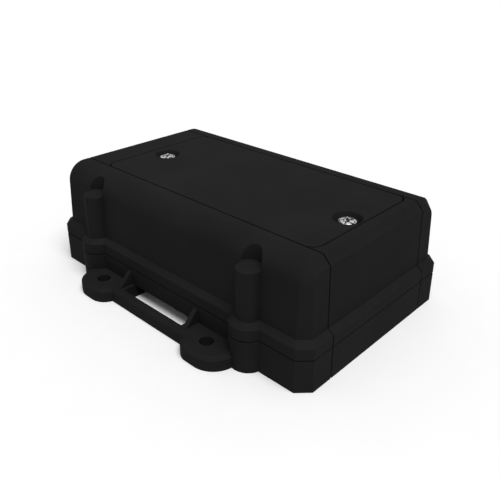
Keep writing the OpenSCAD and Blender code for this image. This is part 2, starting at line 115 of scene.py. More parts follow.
def mesh_piece(name, bm, *materials):
    """Turns a bmesh drawn in millimetres into an object at the origin, with its materials."""
    bmesh.ops.scale(bm, vec=(MM, MM, MM), verts=bm.verts)
    bmesh.ops.recalc_face_normals(bm, faces=bm.faces)
    data = bpy.data.meshes.new(name)
    bm.to_mesh(data)
    bm.free()
    for mat in materials:
        data.materials.append(mat)
    piece = bpy.data.objects.new(name, data)
    bpy.context.scene.collection.objects.link(piece)
    return piece


board_mat, tree, shader = finish_of("table_board")
fibre = noise(tree, place_in(tree), 60.0, Detail=6.0)
wire(tree, shader, Base_Color=tint(tree, fibre, (0.626, 0.626, 0.626), (0.646, 0.646, 0.646)))
wire(tree, shader, Roughness=ramp(tree, fibre, 0.3, 0.7, 0.80, 0.90))
shader.inputs["Specular IOR Level"].default_value = 0.1

table_half = 6000.0
bm = bmesh.new()
bmesh.ops.create_grid(bm, x_segments=2, y_segments=2, size=table_half)
table = mesh_piece("table", bm, board_mat)
table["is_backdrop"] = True

# the room lights the unit less than it shows behind it
room_light, room_seen = 0.58, 1.0
scene = bpy.context.scene
scene.view_settings.view_transform = "Standard"
room = bpy.data.worlds.new("room")
room.use_nodes = True
sky = room.node_tree
seen = put(sky, "ShaderNodeLightPath").outputs["Is Camera Ray"]
wire(sky, sky.nodes["Background"], Color=(1.0, 1.0, 1.0),
     Strength=ramp(sky, seen, 0.0, 1.0, room_light, room_seen))
scene.world = room

softbox = bpy.data.lights.new("softbox", "SUN")
softbox.angle = math.radians(38.0)
softbox.energy = 3.5
lamp = bpy.data.objects.new("softbox", softbox)
lamp.rotation_euler = Vector((-0.39, 0.165, -1.05)).to_track_quat("-Z", "Y").to_euler()
scene.collection.objects.link(lamp)

camera = bpy.data.cameras.new("camera")
camera.sensor_width = 36.0
camera.lens = 44.03
camera.shift_y = -0.09
camera.clip_start = 0.01
camera.clip_end = 20.0
viewer = bpy.data.objects.new("viewer", camera)
viewer.location = (0.17316, -0.17681, 0.14450)
aim = Vector((0.01765, -0.01166, 0.04393)) - viewer.location
tipped = Matrix.Rotation(math.radians(0.17), 3, "Z")
viewer.rotation_euler = (aim.to_track_quat("-Z", "Y").to_matrix() @ tipped).to_euler()
scene.collection.objects.link(viewer)
scene.camera = viewer


# ---- lower shell ------------------------------------------------------------------------
# One injection moulding in black glass-filled nylon, with a fine spark-eroded texture on
# every face. Its edges leave the mould slightly rounded and burnish a little in use.

def maths(tree, operation, a, b=0.0):
    """A Math node on one or two values or links."""
    made = put(tree, "ShaderNodeMath", {"operation": operation})
    for socket, value in zip(made.inputs, (a, b)):
        feed(tree, socket, value)
    return made.outputs[0]


def shade(colour, share):
    """A colour made darker or lighter by a share."""
    return tuple(share * part for part in colour)


def shared(name, inputs, outputs):
    """An empty node group. inputs are {name: value}, outputs are {name: socket type}."""
    group = bpy.data.node_groups.new(name, "ShaderNodeTree")
    for key, value in inputs.items():
        socket = group.interface.new_socket(name=key, in_out="INPUT", socket_type="NodeSocketFloat")
        socket.default_value = value
    for key, kind in outputs.items():
        group.interface.new_socket(name=key, in_out="OUTPUT", socket_type=kind)
    return group, group.nodes.new("NodeGroupInput").outputs, group.nodes.new("NodeGroupOutput").inputs


def placed(tree, group, **values):
    """Places a node group in a material, with its own values, and returns its outputs."""
    made = tree.nodes.new("ShaderNodeGroup")
    made.node_tree = group
    wire(tree, made, **values)
    return made.outputs


def raise_skin(tree, shader, height, depth, strength, **base):
    """Gives a shader the relief of a height, depth metres deep, over a base Normal if one is named."""
    bumped = put(tree, "ShaderNodeBump", Height=height, Distance=depth, Strength=strength, **base)
    wire(tree, shader, Normal=bumped.outputs["Normal"])


# spark-eroded texture: round pits of two sizes, and slow changes of shade over the moulding
grain, given, result = shared(
    "spark_grain",
    {"Pits Per Metre": 2600.0, "Fine Share": 0.5},
    {"Height": "NodeSocketFloat", "Shade": "NodeSocketFloat"},
)
place = place_in(grain)
pits = put(grain, "ShaderNodeTexVoronoi", {"feature": "SMOOTH_F1"}, Vector=place,
           Scale=given["Pits Per Metre"], Smoothness=0.6).outputs["Distance"]
fine = noise(grain, place, maths(grain, "MULTIPLY", given["Pits Per Metre"], 1.7), Detail=3.0, Roughness=0.6)
slow = noise(grain, place, 38.0, Detail=4.0, Roughness=0.55)
rough_part = maths(grain, "MULTIPLY", fine, given["Fine Share"])
feed(grain, result["Height"], maths(grain, "ADD", pits, rough_part))
feed(grain, result["Shade"], ramp(grain, slow, 0.3, 0.7))

# edges: the normal turned over a small radius, and how far it turned
edge, given, result = shared(
    "rounded_edge",
    {"Radius": 0.00012, "Wear From": 0.02, "Wear To": 0.25},
    {"Normal": "NodeSocketVector", "Wear": "NodeSocketFloat"},
)
turned = put(edge, "ShaderNodeBevel", {"samples": 6}, Radius=given["Radius"]).outputs["Normal"]
plain = put(edge, "ShaderNodeNewGeometry").outputs["Normal"]
near = put(edge, "ShaderNodeVectorMath", {"operation": "DOT_PRODUCT"})
feed(edge, near.inputs[0], turned)
feed(edge, near.inputs[1], plain)
gone = maths(edge, "SUBTRACT", 1.0, near.outputs["Value"])
feed(edge, result["Normal"], turned)
feed(edge, result["Wear"], ramp(edge, gone, given["Wear From"], given["Wear To"]))

# handling marks: broad soft patches where fingers and dust leave the texture duller
marks, given, result = shared(
    "handling",
    {"Patches Per Metre": 24.0, "From": 0.5, "To": 0.75},
    {"Mask": "NodeSocketFloat"},
)
broad = noise(marks, place_in(marks), given["Patches Per Metre"], Detail=7.0, Roughness=0.62,
              Distortion=0.35)
feed(marks, result["Mask"], ramp(marks, broad, given["From"], given["To"]))


def moulded(name, colour, worn_colour, gloss=(0.70, 0.80), pits=2600.0, depth=0.00002, radius=0.00012,
            shine=0.02):
    """Textured moulded plastic, burnished at its edges."""
    mat, tree, shader = finish_of(name)
    skin = placed(tree, grain, Pits_Per_Metre=pits)
    rim = placed(tree, edge, Radius=radius)
    touched = placed(tree, marks)
    body = tint(tree, skin["Shade"], shade(colour, 0.88), shade(colour, 1.1))
    lift = maths(tree, "MULTIPLY", rim["Wear"], 0.5)
    wire(tree, shader, Base_Color=tint(tree, lift, body, worn_colour))
    rough = ramp(tree, touched["Mask"], 0.0, 1.0, gloss[0], gloss[1])
    wire(tree, shader, Roughness=maths(tree, "SUBTRACT", rough, maths(tree, "MULTIPLY", lift, 0.12)))
    raise_skin(tree, shader, skin["Height"], depth, 0.6, Normal=rim["Normal"])
    shader.inputs["Specular IOR Level"].default_value = shine
    return mat


def dress(node, mat):
    """Gives every material slot of a CAD node this finish."""
    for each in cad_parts[node].material_slots:
        each.material = mat


black = (0.0093, 0.0093, 0.0095)
worn_black = (0.030, 0.030, 0.031)
dress("base_shell", moulded("case_nylon", black, worn_black))


# ---- rim gasket and vent membrane -------------------------------------------------------
# A moulded silicone cord lies in the rim's groove. Over the vent hole a disc of white porous
# film is stuck to the floor with a ring of grey adhesive tape.

def solids_of(node):
    """(lowest corner, highest corner) of each solid of a CAD node, in millimetres, in order of X then Y."""
    bm = bmesh.new()
    bm.from_mesh(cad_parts[node].data)
    bmesh.ops.remove_doubles(bm, verts=bm.verts, dist=0.000001)
    waiting = set(bm.verts)
    found = []
    while waiting:
        front = [waiting.pop()]
        solid = list(front)
        while front:
            for link in front.pop().link_edges:
                for near in link.verts:
                    if near in waiting:
                        waiting.discard(near)
                        front.append(near)
                        solid.append(near)
        low = Vector(tuple(min(v.co[k] for v in solid) for k in range(3)))
        high = Vector(tuple(max(v.co[k] for v in solid) for k in range(3)))
        found.append((low / MM, high / MM))
    bm.free()
    return sorted(found, key=lambda box: (round(box[0].x, 1), round(box[0].y, 1)))


def middle_of(low, high):
    """The middle of a box along X and along Y."""
    return (low.x + high.x) / 2, (low.y + high.y) / 2


def attach(piece, body):
    """The piece rides on a body."""
    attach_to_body(piece, body)


def tube(bm, centre, inner, outer, height, steps, skin=0):
    """An upright ring or, with inner 0, a disc, standing on the point centre."""
    low = Vector(centre)
    across = [(inner, 0.0), (outer, 0.0), (outer, height), (inner, height)]
    rim = [bm.verts.new(low + Vector((r, 0.0, z))) for r, z in across]
    sides = 4 if inner else 3
    lines = [bm.edges.new((rim[k], rim[(k + 1) % 4])) for k in range(sides)]
    before = set(bm.faces)
    bmesh.ops.spin(bm, geom=rim + lines, cent=low, axis=(0.0, 0.0, 1.0), angle=math.tau, steps=steps,
                   use_merge=True)
    if not inner:
        bmesh.ops.remove_doubles(bm, verts=bm.verts, dist=0.0001)
    for face in set(bm.faces) - before:
        face.material_index = skin


def rubber(name, colour):
    """Matt silicone rubber with a faint bloom of talc."""
    mat, tree, shader = finish_of(name)
    skin = placed(tree, grain, Pits_Per_Metre=5200.0, Fine_Share=0.8)
    dusty = placed(tree, marks, Patches_Per_Metre=60.0, From=0.45, To=0.8)
    wire(tree, shader, Base_Color=tint(tree, dusty["Mask"], colour, shade(colour, 1.9)))
    wire(tree, shader, Roughness=ramp(tree, skin["Shade"], 0.0, 1.0, 0.62, 0.82))
    raise_skin(tree, shader, skin["Height"], 0.00001, 0.5)
    shader.inputs["Specular IOR Level"].default_value = 0.25
    return mat


silicone = (0.040, 0.042, 0.045)
dress("rim_gasket", rubber("rim_silicone", silicone))

film, tree, shader = finish_of("porous_film")
place = place_in(tree)
pores = put(tree, "ShaderNodeTexVoronoi", Vector=place, Scale=4200.0).outputs["Distance"]
felt = noise(tree, place, 900.0, Detail=6.0)
wire(tree, shader, Base_Color=tint(tree, felt, (0.66, 0.66, 0.64), (0.82, 0.82, 0.80)))
wire(tree, shader, Roughness=ramp(tree, felt, 0.3, 0.7, 0.55, 0.75))
raise_skin(tree, shader, pores, 0.00001, 0.6)
dress("vent_membrane", film)

sunk = 0.02            # how far a stuck piece sinks into what it lies on, so no gap shows
tape_hole = 2.6
tape_thick = 0.08
low, high = solids_of("vent_membrane")[0]
bm = bmesh.new()
tube(bm, (*middle_of(low, high), high.z - sunk), tape_hole, (high.x - low.x) / 2, tape_thick, steps=48)
ring = mesh_piece("vent_tape", bm, rubber("grey_tape", (0.16, 0.16, 0.165)))
attach(ring, "base")


# ---- circuit board ----------------------------------------------------------------------
# Glass laminate with copper under green solder mask: bundles of narrow tracks that turn from
# cell to cell, tinned vias between them, and brown laminate showing at the routed edges.

def track_lines(tree, along, pitch, width):
    """Masks straight tracks of a width and pitch across one coordinate, in metres."""
    step = maths(tree, "PINGPONG", along, pitch / 2)
    return maths(tree, "LESS_THAN", step, width / 2)


def either(tree, first, second, share):
    """The first value where share is 1, the second where it is 0."""
    kept = maths(tree, "MULTIPLY", first, share)
    return maths(tree, "ADD", kept, maths(tree, "MULTIPLY", second, maths(tree, "SUBTRACT", 1.0, share)))


mat, tree, shader = finish_of("solder_mask")
place = place_in(tree)
way = put(tree, "ShaderNodeSeparateXYZ", Vector=place).outputs
flat = put(tree, "ShaderNodeCombineXYZ", X=way["X"], Y=way["Y"], Z=0.0).outputs[0]

# tracks run along X, along Y or aslant, cell by cell, and some cells are poured copper
track_pitch, track_wide = 0.0009, 0.00035
slant_pitch, slant_wide = 0.0013, 0.0005
cell = put(tree, "ShaderNodeTexVoronoi", {"distance": "CHEBYCHEV"}, Vector=flat, Scale=95.0)
pick = put(tree, "ShaderNodeSeparateColor", Color=cell.outputs["Color"]).outputs
by_x = track_lines(tree, way["X"], track_pitch, track_wide)
by_y = track_lines(tree, way["Y"], track_pitch, track_wide)
by_slant = track_lines(tree, maths(tree, "ADD", way["X"], way["Y"]), slant_pitch, slant_wide)
straight = either(tree, by_x, by_y, maths(tree, "GREATER_THAN", pick["Red"], 0.45))
tracks = either(tree, by_slant, straight, maths(tree, "GREATER_THAN", pick["Green"], 0.8))
poured = maths(tree, "GREATER_THAN", pick["Blue"], 0.62)
copper = maths(tree, "MAXIMUM", tracks, poured)

# vias: a tinned land round a drilled hole; the hole is not cut, its inside is painted dark as shade
spot = put(tree, "ShaderNodeTexVoronoi", Vector=flat, Scale=230.0, Randomness=0.75).outputs["Distance"]
land = maths(tree, "LESS_THAN", spot, 0.085)
via_hole_shade = maths(tree, "LESS_THAN", spot, 0.042)

facing = put(tree, "ShaderNodeTexCoord").outputs["Normal"]
upward = put(tree, "ShaderNodeSeparateXYZ", Vector=facing).outputs["Z"]
face_on = maths(tree, "GREATER_THAN", maths(tree, "ABSOLUTE", upward), 0.5)
weave = noise(tree, place, 1500.0, Detail=3.0)
ply_pitch, ply_line = 0.0004, 0.00012
layers = track_lines(tree, way["Z"], ply_pitch, ply_line)
laminate = tint(tree, layers, (0.30, 0.24, 0.12), (0.19, 0.15, 0.07))
mask = tint(tree, copper, (0.010, 0.062, 0.024), (0.016, 0.110, 0.042))
shaded = tint(tree, ramp(tree, weave, 0.3, 0.7, 0.0, 0.25), mask, (0.008, 0.05, 0.02))
tinned = tint(tree, land, shaded, (0.62, 0.61, 0.58))
with_hole_shade = tint(tree, via_hole_shade, tinned, (0.01, 0.02, 0.012))
bright = maths(tree, "MULTIPLY", maths(tree, "SUBTRACT", land, via_hole_shade), face_on)
raised = maths(tree, "ADD", copper, maths(tree, "MULTIPLY", weave, 0.15))
wire(tree, shader, Base_Color=tint(tree, face_on, laminate, with_hole_shade), Metallic=bright)
wire(tree, shader, Roughness=ramp(tree, face_on, 0.0, 1.0, 0.75, 0.34))
raise_skin(tree, shader, maths(tree, "MULTIPLY", raised, face_on), 0.00003, 0.5)
dress("circuit_board", mat)


def corners_in(parts):
    """The corners among the parts that an operator gives back."""
    return [part for part in parts if isinstance(part, bmesh.types.BMVert)]


def printed_outline(bm, low, high, width, height):
    """A flat rectangular line round a box's foot."""
    x1, y1, x2, y2 = low[0], low[1], high[0], high[1]
    ring = [bm.verts.new((x, y, low[2])) for x, y in ((x1, y1), (x2, y1), (x2, y2), (x1, y2))]
    face = bm.faces.new(ring)
    face.normal_update()
    inner = bmesh.ops.inset_region(bm, faces=[face], thickness=width, use_boundary=True,
                                   use_even_offset=True)["faces"]
    bmesh.ops.delete(bm, geom=[face], context="FACES_ONLY")
    grown = bmesh.ops.extrude_face_region(bm, geom=inner)["geom"]
    bmesh.ops.translate(bm, vec=(0.0, 0.0, height), verts=corners_in(grown))


board_top = solids_of("circuit_board")[0][1].z
foot_z = board_top - 0.01      # where soldered and printed pieces start, just inside the board

# outlines printed round the parts in white ink
ink, tree, shader = finish_of("white_ink")
mottle = noise(tree, place_in(tree), 3000.0, Detail=3.0)
wire(tree, shader, Base_Color=tint(tree, mottle, (0.52, 0.53, 0.50), (0.74, 0.75, 0.72)))
wire(tree, shader, Roughness=ramp(tree, mottle, 0.3, 0.7, 0.45, 0.65))
ink_gap = 1.9
ink_wide = 0.15
ink_thick = 0.03
bm = bmesh.new()
for low, high in solids_of("board_chips") + solids_of("shield_cans") + solids_of("filter_blocks"):
    start = (low.x - ink_gap, low.y - ink_gap, foot_z)
    end = (high.x + ink_gap, high.y + ink_gap, foot_z)
    printed_outline(bm, start, end, ink_wide, ink_thick)
legend = mesh_piece("board_legend", bm, ink)
attach(legend, "base")


# ---- small board parts ------------------------------------------------------------------
# Ceramic resistors and capacitors of two sizes, each a fired block with tinned end caps,
# reflow-soldered in short rows between the larger parts.

def block(bm, low, high, soft, steps, skin=0):
    """A box between two corners, with its edges rounded by soft."""
    low, high = Vector(low), Vector(high)
    corners = bmesh.ops.create_cube(bm, size=1.0)["verts"]
    bmesh.ops.scale(bm, vec=high - low, verts=corners)
    bmesh.ops.translate(bm, vec=(low + high) / 2, verts=corners)
    faces = {face for corner in corners for face in corner.link_faces}
    edges = {edge for face in faces for edge in face.edges}
    made = bmesh.ops.bevel(bm, geom=list(edges), offset=soft, offset_type="OFFSET", segments=steps,
                           profile=0.5, affect="EDGES", clamp_overlap=True, material=-1)
    for face in {face for face in faces if face.is_valid} | set(made["faces"]):
        face.material_index = skin


def solder(name):
    """Reflowed solder: bright, wrinkled where it froze."""
    mat, tree, shader = finish_of(name)
    frozen = noise(tree, place_in(tree), 1400.0, Detail=4.0, Distortion=0.4)
    wire(tree, shader, Base_Color=tint(tree, frozen, (0.46, 0.46, 0.46), (0.66, 0.66, 0.65)), Metallic=1.0)
    wire(tree, shader, Roughness=ramp(tree, frozen, 0.3, 0.7, 0.22, 0.42))
    raise_skin(tree, shader, frozen, 0.00004, 0.5)
    return mat


def fired(name, colour, gloss):
    """Fired ceramic or glassy paste, speckled."""
    mat, tree, shader = finish_of(name)
    skin = placed(tree, grain, Pits_Per_Metre=7000.0, Fine_Share=1.0)
    wire(tree, shader, Base_Color=tint(tree, skin["Shade"], shade(colour, 0.8), colour))
    wire(tree, shader, Roughness=ramp(tree, skin["Height"], 0.3, 0.9, gloss, gloss + 0.15))
    raise_skin(tree, shader, skin["Height"], 0.000008, 0.5)
    return mat


tin = solder("tin_solder")
resistor_black = fired("resistor_glass", (0.020, 0.020, 0.022), 0.3)
capacitor_tan = fired("capacitor_ceramic", (0.33, 0.21, 0.12), 0.4)
cap_share = 0.2        # of the length that each tinned cap covers
cap_proud = 0.04       # how far the caps stand past the fired block


def end_capped(bm, x, y, long, wide, tall, upright):
    """One two-ended part: the fired block and its two caps."""
    half, side = (wide / 2, long / 2) if upright else (long / 2, wide / 2)
    block(bm, (x - half, y - side, board_top + 0.02), (x + half, y + side, board_top + tall), soft=0.05,
          steps=1)
    reach = side if upright else half
    for end in (-1, 1):
        a, b = sorted((end * (reach + cap_proud), end * (reach - long * cap_share)))
        if upright:
            corner, other = (x - half - cap_proud, y + a), (x + half + cap_proud, y + b)
        else:
            corner, other = (x + a, y - side - cap_proud), (x + b, y + side + cap_proud)
        block(bm, (*corner, foot_z), (*other, board_top + tall + cap_proud), soft=0.05, steps=1,
              skin=1)


# rows of parts: x and y of the first, how many, the step between them, and whether they stand along Y
resistor_rows = (
    (-36.0, -20.0, 7, 0.0, 1.8, False),
    (-36.0, 10.0, 5, 0.0, 1.8, False),
    (-4.0, 26.0, 6, 2.2, 0.0, True),
    (36.5, -8.0, 6, 0.0, 1.8, False),
    (44.0, 6.0, 5, 0.0, 1.8, False),
    (-32.0, 30.0, 5, 2.4, 0.0, True),
    (16.0, -28.5, 6, 2.2, 0.0, True),
    (51.0, -30.5, 3, 2.2, 0.0, True),
)
capacitor_rows = (
    (-33.0, -8.0, 5, 0.0, 2.2, False),
    (32.0, 16.0, 4, 2.4, 0.0, True),
    (31.0, 29.5, 5, 2.6, 0.0, True),
    (-16.0, 30.0, 4, 2.6, 0.0, True),
    (40.5, -16.0, 4, 0.0, 2.3, False),
    (37.0, 3.2, 3, 3.2, 0.0, True),
    (-38.5, -31.0, 5, 2.6, 0.0, True),
)
for name, fill, size, rows in (
    ("chip_resistors", resistor_black, (1.6, 0.8, 0.45), resistor_rows),
    ("chip_capacitors", capacitor_tan, (2.0, 1.25, 0.9), capacitor_rows),
):
    bm = bmesh.new()
    for x, y, count, step_x, step_y, upright in rows:
        for k in range(count):
            end_capped(bm, x + k * step_x, y + k * step_y, *size, upright)
    small = mesh_piece(name, bm, fill, tin)
    attach(small, "base")


# ---- chips ------------------------------------------------------------------------------
# Moulded epoxy packages on bent tinned legs, with a round ejector dimple at one corner.
# The legs are stamped from rolled and plated sheet.

def epoxy(name, colour, gloss):
    """Filled epoxy: dull black with fine pale filler showing."""
    mat, tree, shader = finish_of(name)
    skin = placed(tree, grain, Pits_Per_Metre=6000.0, Fine_Share=1.2)
    rim = placed(tree, edge, Radius=0.00006, Wear_From=0.05, Wear_To=0.4)
    lift = maths(tree, "MULTIPLY", rim["Wear"], 0.4)
    wire(tree, shader, Base_Color=tint(tree, lift, colour, shade(colour, 3.0)))
    wire(tree, shader, Roughness=ramp(tree, skin["Height"], 0.3, 1.0, gloss, gloss + 0.15))
    raise_skin(tree, shader, skin["Height"], 0.00001, 0.5, Normal=rim["Normal"])
    return mat


dress("board_chips", epoxy("chip_epoxy", (0.017, 0.017, 0.019), 0.45))

# rolling lines: noise drawn out along one way of the sheet
rolling, given, result = shared(
    "rolling_lines",
    {"Lines Per Metre": 2600.0, "X": 1.0, "Y": 1.0, "Z": 1.0},
    {"Height": "NodeSocketFloat", "Shade": "NodeSocketFloat"},
)
stretch = put(rolling, "ShaderNodeCombineXYZ", X=given["X"], Y=given["Y"], Z=given["Z"]).outputs[0]
drawn = put(rolling, "ShaderNodeVectorMath", {"operation": "MULTIPLY"})
feed(rolling, drawn.inputs[0], place_in(rolling))
feed(rolling, drawn.inputs[1], stretch)
lines = noise(rolling, drawn.outputs[0], given["Lines Per Metre"], Detail=3.0, Roughness=0.7)
feed(rolling, result["Height"], lines)
feed(rolling, result["Shade"], ramp(rolling, lines, 0.3, 0.7))


def plated(name, colour, across=(1.0, 1.0, 1.0), gloss=(0.25, 0.4), stain=0.35):
    """Rolled and plated sheet metal: fine rolling lines, soft stains and burnished edges."""
    mat, tree, shader = finish_of(name)
    rolled = placed(tree, rolling, X=across[0], Y=across[1], Z=across[2])
    rim = placed(tree, edge, Radius=0.00006)
    touched = placed(tree, marks, Patches_Per_Metre=85.0, From=0.45, To=0.8)
    dull = maths(tree, "MULTIPLY", touched["Mask"], stain)
    body = tint(tree, rolled["Shade"], shade(colour, 0.9), colour)
    wire(tree, shader, Base_Color=tint(tree, dull, body, shade(colour, 0.55)), Metallic=1.0)
    rough = ramp(tree, rolled["Shade"], 0.0, 1.0, gloss[0], gloss[1])
    wire(tree, shader, Roughness=maths(tree, "ADD", rough, maths(tree, "MULTIPLY", dull, 0.3)))
    raise_skin(tree, shader, rolled["Height"], 0.000004, 0.6, Normal=rim["Normal"])
    return mat


leg_pitch = 0.65
leg_wide = 0.28
leg_thick = 0.14
leg_tall = 0.6


def leg(bm, foot, out):
    """One bent leg: shoulder, slope and foot, from the package side outwards along out."""
    out = Vector((*out, 0.0))
    side = Vector((-out.y, out.x, 0.0)) * leg_wide / 2
    outline = [(-0.1, leg_tall), (0.3, leg_tall), (0.62, leg_thick), (1.1, leg_thick), (1.1, 0.0),
               (0.55, 0.0), (0.2, leg_tall - 0.16), (-0.1, leg_tall - 0.16)]
    ring = [bm.verts.new(Vector((*foot, board_top)) + out * d + side + Vector((0.0, 0.0, z)))
            for d, z in outline]
    face = bm.faces.new(ring)
    grown = bmesh.ops.extrude_face_region(bm, geom=[face])["geom"]
    bmesh.ops.translate(bm, vec=-2.0 * side, verts=corners_in(grown))


leg_tin = plated("leg_tin", (0.60, 0.60, 0.60), gloss=(0.25, 0.38))

# the small two-ended chips have no legs
legged = [(low, high) for low, high in solids_of("board_chips") if min(high.x - low.x, high.y - low.y) > 3.0]
bm = bmesh.new()
for low, high in legged:
    x, y = middle_of(low, high)
    for way_x, way_y in ((1, 0), (-1, 0), (0, 1), (0, -1)):
        span = (high.y - low.y) if way_x else (high.x - low.x)
        count = int((span - 1.2) / leg_pitch)
        for k in range(count):
            shift = (k - (count - 1) / 2) * leg_pitch
            if way_x:
                foot = (high.x if way_x > 0 else low.x, y + shift)
            else:
                foot = (x + shift, high.y if way_y > 0 else low.y)
            leg(bm, foot, (way_x, way_y))
legs = mesh_piece("chip_legs", bm, leg_tin)
attach(legs, "base")

mark_inset = 1.0
bm = bmesh.new()
for low, high in legged:
    tube(bm, (low.x + mark_inset, high.y - mark_inset, high.z - 0.01), 0.28, 0.36, 0.03, steps=20)
dimples = mesh_piece("chip_dimples", bm, epoxy("dimple_epoxy", (0.05, 0.05, 0.052), 0.3))
attach(dimples, "base")


# ---- radio module, shield cans and filters ----------------------------------------------
# Drawn nickel-silver boxes clipped over soldered fences, with contact dimples round their
# sides, and two ivory ceramic filter blocks whose plated tuning holes are not cut: each is a
# plated ring round a dark disc of painted shade.

nickel_silver = plated("nickel_silver", (0.58, 0.58, 0.565), across=(0.06, 1.0, 1.0), gloss=(0.28, 0.42))
dress("radio_module", nickel_silver)
dress("shield_cans", nickel_silver)
lids = solids_of("shield_cans") + solids_of("radio_module")

# solder along the foot of every can, and at three places along each antenna plate
can_solder = 0.35
plate_solder = 0.5
plate_joint = 2.4
bm = bmesh.new()
for low, high in lids:
    block(bm, (low.x - can_solder, low.y - can_solder, foot_z),
          (high.x + can_solder, high.y + can_solder, board_top + 0.32), soft=0.26, steps=2)
for low, high in solids_of("antenna_left") + solids_of("antenna_right"):
    for share in (0.12, 0.5, 0.88):
        y = low.y + share * (high.y - low.y)
        block(bm, (low.x - plate_solder, y - plate_joint, foot_z),
              (high.x + plate_solder, y + plate_joint, board_top + 0.6), soft=0.42, steps=3)
fillets = mesh_piece("solder_fillets", bm, tin)
attach(fillets, "base")


def dimple(bm, centre, out, radius):
    """A shallow round dimple pressed outwards."""
    made = bmesh.ops.create_uvsphere(bm, u_segments=12, v_segments=8, radius=radius)["verts"]
    bmesh.ops.scale(bm, vec=[0.35 if part else 1.0 for part in out], verts=made)
    bmesh.ops.translate(bm, vec=centre, verts=made)


dimple_pitch = 4.0
first_dimple = 2.6
dimple_radius = 0.45
bm = bmesh.new()
for low, high in solids_of("shield_cans"):
    z = (board_top + 0.8 + high.z) / 2
    for x, y in ((low.x - 0.02, low.y - 0.02), (high.x + 0.02, high.y + 0.02)):
        for k in range(int((high.y - low.y) / dimple_pitch)):
            dimple(bm, (x, low.y + first_dimple + dimple_pitch * k, z), (1, 0, 0), dimple_radius)
        for k in range(int((high.x - low.x) / dimple_pitch)):
            dimple(bm, (low.x + first_dimple + dimple_pitch * k, y, z), (0, 1, 0), dimple_radius)
dimples = mesh_piece("can_dimples", bm, nickel_silver)
attach(dimples, "base")

# raised stiffening panels pressed in the lids
lid_rim = 1.6
bm = bmesh.new()
for low, high in lids:
    block(bm, (low.x + lid_rim, low.y + lid_rim, high.z - 0.1),
          (high.x - lid_rim, high.y - lid_rim, high.z + 0.12), soft=0.1, steps=2)
pressed = mesh_piece("can_panels", bm, nickel_silver)
attach(pressed, "base")


def both_sides(a, b, out, under):
    """The two strips that start under each side of a span from a to b and stand out past it."""
    return (a - out, a + under), (b - under, b + out)


dress("filter_blocks", fired("filter_ivory", (0.62, 0.55, 0.40), 0.35))
silver = plated("filter_silver", (0.66, 0.65, 0.62), gloss=(0.3, 0.45))
bore_shade_disc = fired("filter_bore_shade", (0.012, 0.012, 0.013), 0.6)
first_port = 2.6
port_pitch = 3.6
clip_wide = 1.0
clip_proud = 0.06
bm = bmesh.new()
for low, high in solids_of("filter_blocks"):
    for k in range(4):
        centre = (low.x + first_port + port_pitch * k, (low.y + high.y) / 2, high.z - 0.01)
        tube(bm, centre, 0.7, 1.15, 0.06, steps=28)
        # the tuning hole is not cut: a dark disc inside the ring paints the shade in its bore
        tube(bm, centre, 0.0, 0.68, 0.02, steps=28, skin=1)
    clip_top = (high.z + board_top) / 2
    for x1, x2 in both_sides(low.x, high.x, clip_proud, clip_wide):
        block(bm, (x1, low.y - clip_proud, board_top), (x2, high.y + clip_proud, clip_top), soft=0.04,
              steps=1)
ports = mesh_piece("filter_ports", bm, silver, bore_shade_disc)
attach(ports, "base")


# ---- capacitors -------------------------------------------------------------------------
# Two electrolytic cans in shrunk dark sleeves with a pale polarity stripe, aluminium tops
# scored to vent, each on a moulded base plate.

# the stripe is a span of the turn round each can's own axis
mat, tree, shader = finish_of("capacitor_sleeve")
cans = solids_of("capacitors")
way = put(tree, "ShaderNodeSeparateXYZ", Vector=place_in(tree)).outputs
centre_x = [(low.x + high.x) / 2 * MM for low, high in cans]
centre_y = (cans[0][0].y + cans[0][1].y) / 2 * MM
from_middle = maths(tree, "ABSOLUTE", maths(tree, "SUBTRACT", way["X"], sum(centre_x) / 2))
across = maths(tree, "SUBTRACT", from_middle, abs(centre_x[1] - centre_x[0]) / 2)
depth = maths(tree, "SUBTRACT", way["Y"], centre_y)
turn = maths(tree, "ABSOLUTE", maths(tree, "ARCTAN2", depth, across))
stripe = maths(tree, "LESS_THAN", turn, 0.42)
skin = placed(tree, grain, Pits_Per_Metre=1800.0)
touched = placed(tree, marks, Patches_Per_Metre=200.0)
wire(tree, shader, Base_Color=tint(tree, stripe, (0.020, 0.022, 0.030), (0.42, 0.43, 0.44)))
wire(tree, shader, Roughness=ramp(tree, touched["Mask"], 0.0, 1.0, 0.24, 0.42))
raise_skin(tree, shader, skin["Height"], 0.00002, 0.3)
dress("capacitors", mat)

# three leaves of the scored top, with the vent lines left between them
hub_radius = 0.25
leaf_radius = 3.3
leaf_thick = 0.07
half_line = 0.06
plate_half = 4.4
leaves = bmesh.new()
plates = bmesh.new()
for low, high in cans:
    x, y = middle_of(low, high)
    for k in range(3):
        start = math.tau * k / 3 + half_line
        spoke = [leaves.verts.new((x + r * math.cos(start), y + r * math.sin(start), high.z - sunk))
                 for r in (hub_radius, leaf_radius)]
        bmesh.ops.spin(leaves, geom=spoke + [leaves.edges.new(spoke)], cent=(x, y, 0.0),
                       axis=(0.0, 0.0, 1.0), angle=math.tau / 3 - 2 * half_line, steps=10)
    block(plates, (x - plate_half, y - plate_half, foot_z),
          (x + plate_half, y + plate_half, board_top + 0.9), soft=0.25, steps=2)
bmesh.ops.remove_doubles(leaves, verts=leaves.verts, dist=0.001)
grown = bmesh.ops.extrude_face_region(leaves, geom=list(leaves.faces))["geom"]
bmesh.ops.translate(leaves, vec=(0.0, 0.0, leaf_thick), verts=corners_in(grown))
tops = mesh_piece("capacitor_tops", leaves, plated("aluminium_top", (0.70, 0.70, 0.70), gloss=(0.25, 0.35)))
attach(tops, "base")
plate = mesh_piece("capacitor_plates", plates, epoxy("base_plate_black", (0.016, 0.016, 0.018), 0.5))
attach(plate, "base")


# ---- battery pins, SIM holder, slide switch and status lamps ----------------------------
# Gold-plated spring pins in a black nylon block, a folded steel SIM holder with its solder
# feet, a small slide switch, and three side-by-side lamps.

